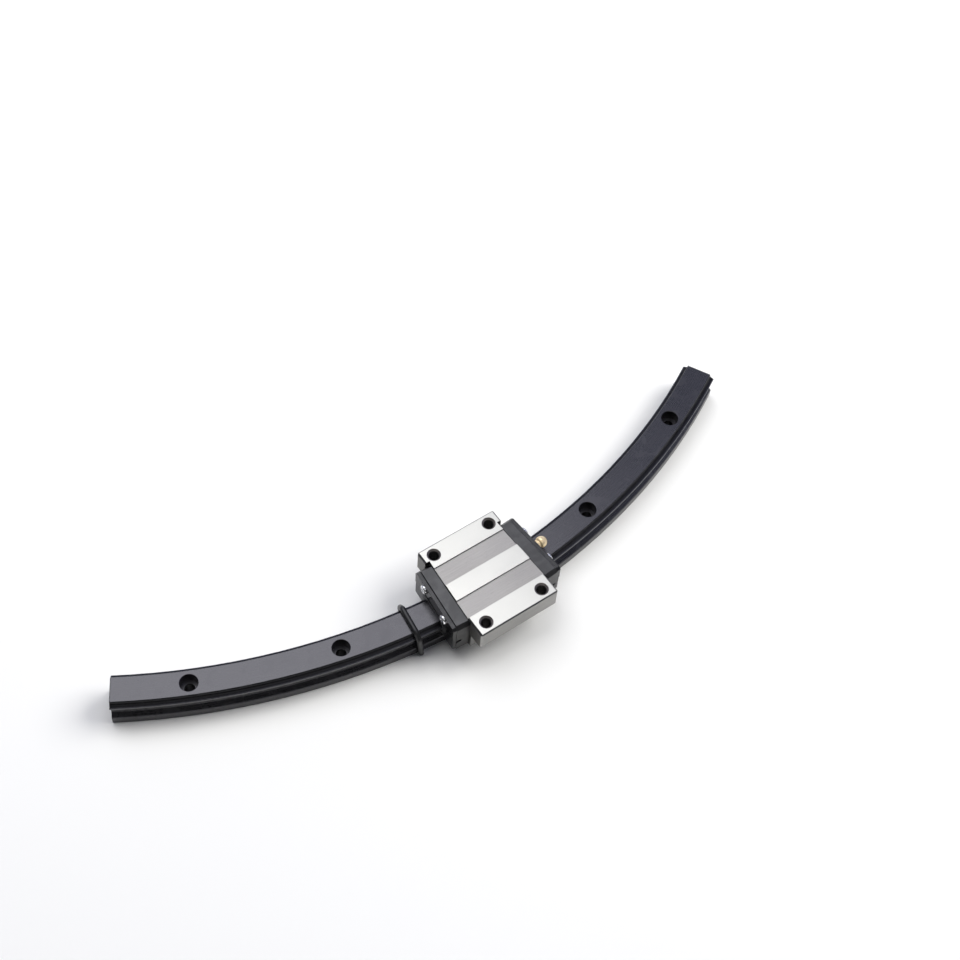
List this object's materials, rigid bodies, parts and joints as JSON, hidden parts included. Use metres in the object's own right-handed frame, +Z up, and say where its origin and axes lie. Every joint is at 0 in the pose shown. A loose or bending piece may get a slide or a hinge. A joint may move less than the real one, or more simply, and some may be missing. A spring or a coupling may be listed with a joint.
{
  "type": "curved linear guide carriage",
  "caption": "Flanged recirculating-ball carriage with end seals and a brass grease nipple, riding on a short arc-shaped black rail with counterbored fixing holes.",
  "frame": {"origin": "axis of the rail's middle fixing hole, on the rail's base plane", "axes": "+Z up from the base, +X tangent to the rail at its middle toward the grease nipple end, +Y toward the centre of the rail's arc"},
  "size_m": [0.3076, 0.0705, 0.024],
  "materials": {
    "black_oxide_steel": "black oxide on ground steel, satin top, dark semi-gloss sides",
    "ground_steel": "hardened steel: ground bright pads, grained strips between, milled sides",
    "black_resin": "moulded black engineering resin, fine satin texture",
    "white_resin": "moulded natural resin, satin",
    "seal_plate_black": "black coated stiff seal plate, satin",
    "seal_rubber": "black rubber, matt",
    "bright_screw": "bright plated steel screws",
    "ball_steel": "polished bearing balls",
    "brass": "turned brass, light lathe marks",
    "spring_steel": "drawn spring wire",
    "port_plug_steel": "black oxide grub screw",
    "ring_rubber": "black rubber cord, matt with a faint sheen"
  },
  "bodies": {
    "rail": {"rail": "black_oxide_steel"},
    "carriage": {"carriage_block": "ground_steel", "end_plate_left": "black_resin", "end_plate_right": "black_resin", "turn_guides_left": "white_resin", "turn_guides_right": "white_resin", "seal_plate_left": "seal_plate_black", "seal_plate_right": "seal_plate_black", "seal_lip_left": "seal_rubber", "seal_lip_right": "seal_rubber", "seal_screws_left": "bright_screw", "seal_screws_right": "bright_screw", "retainer_top": "white_resin", "retainer_side_convex": "white_resin", "retainer_side_concave": "white_resin", "balls_upper_convex": "ball_steel", "balls_upper_concave": "ball_steel", "balls_lower_convex": "ball_steel", "balls_lower_concave": "ball_steel", "nipple_body": "brass", "nipple_spring": "spring_steel", "port_plug": "port_plug_steel"},
    "nipple_ball": {"nipple_check_ball": "ball_steel"},
    "ring": {"transit_ring": "ring_rubber"}
  },
  "joints": [
    {"name": "carriage_travel", "type": "hinge", "parent": "rail", "child": "carriage", "pos_m": [0, 0.3, 0], "axis": [0, 0, 1], "range_deg": [-25.2, 23.5]},
    {"name": "ring_travel", "type": "hinge", "parent": "rail", "child": "ring", "pos_m": [0, 0.3, 0], "axis": [0, 0, 1], "range_deg": [-23.45, 21.87]},
    {"name": "nipple_ball_lift", "type": "slide", "parent": "carriage", "child": "nipple_ball", "axis": [-0.9947, -0.1027, 0], "range_m": [0, 0.0005], "stiffness_N_per_m": 200, "springref_m": -0.0004, "deforming": ["nipple_spring"]}
  ],
  "couplings": [
    {"joint": "ring_travel", "follows": "carriage_travel", "ratio": 0.9303}
  ]
}
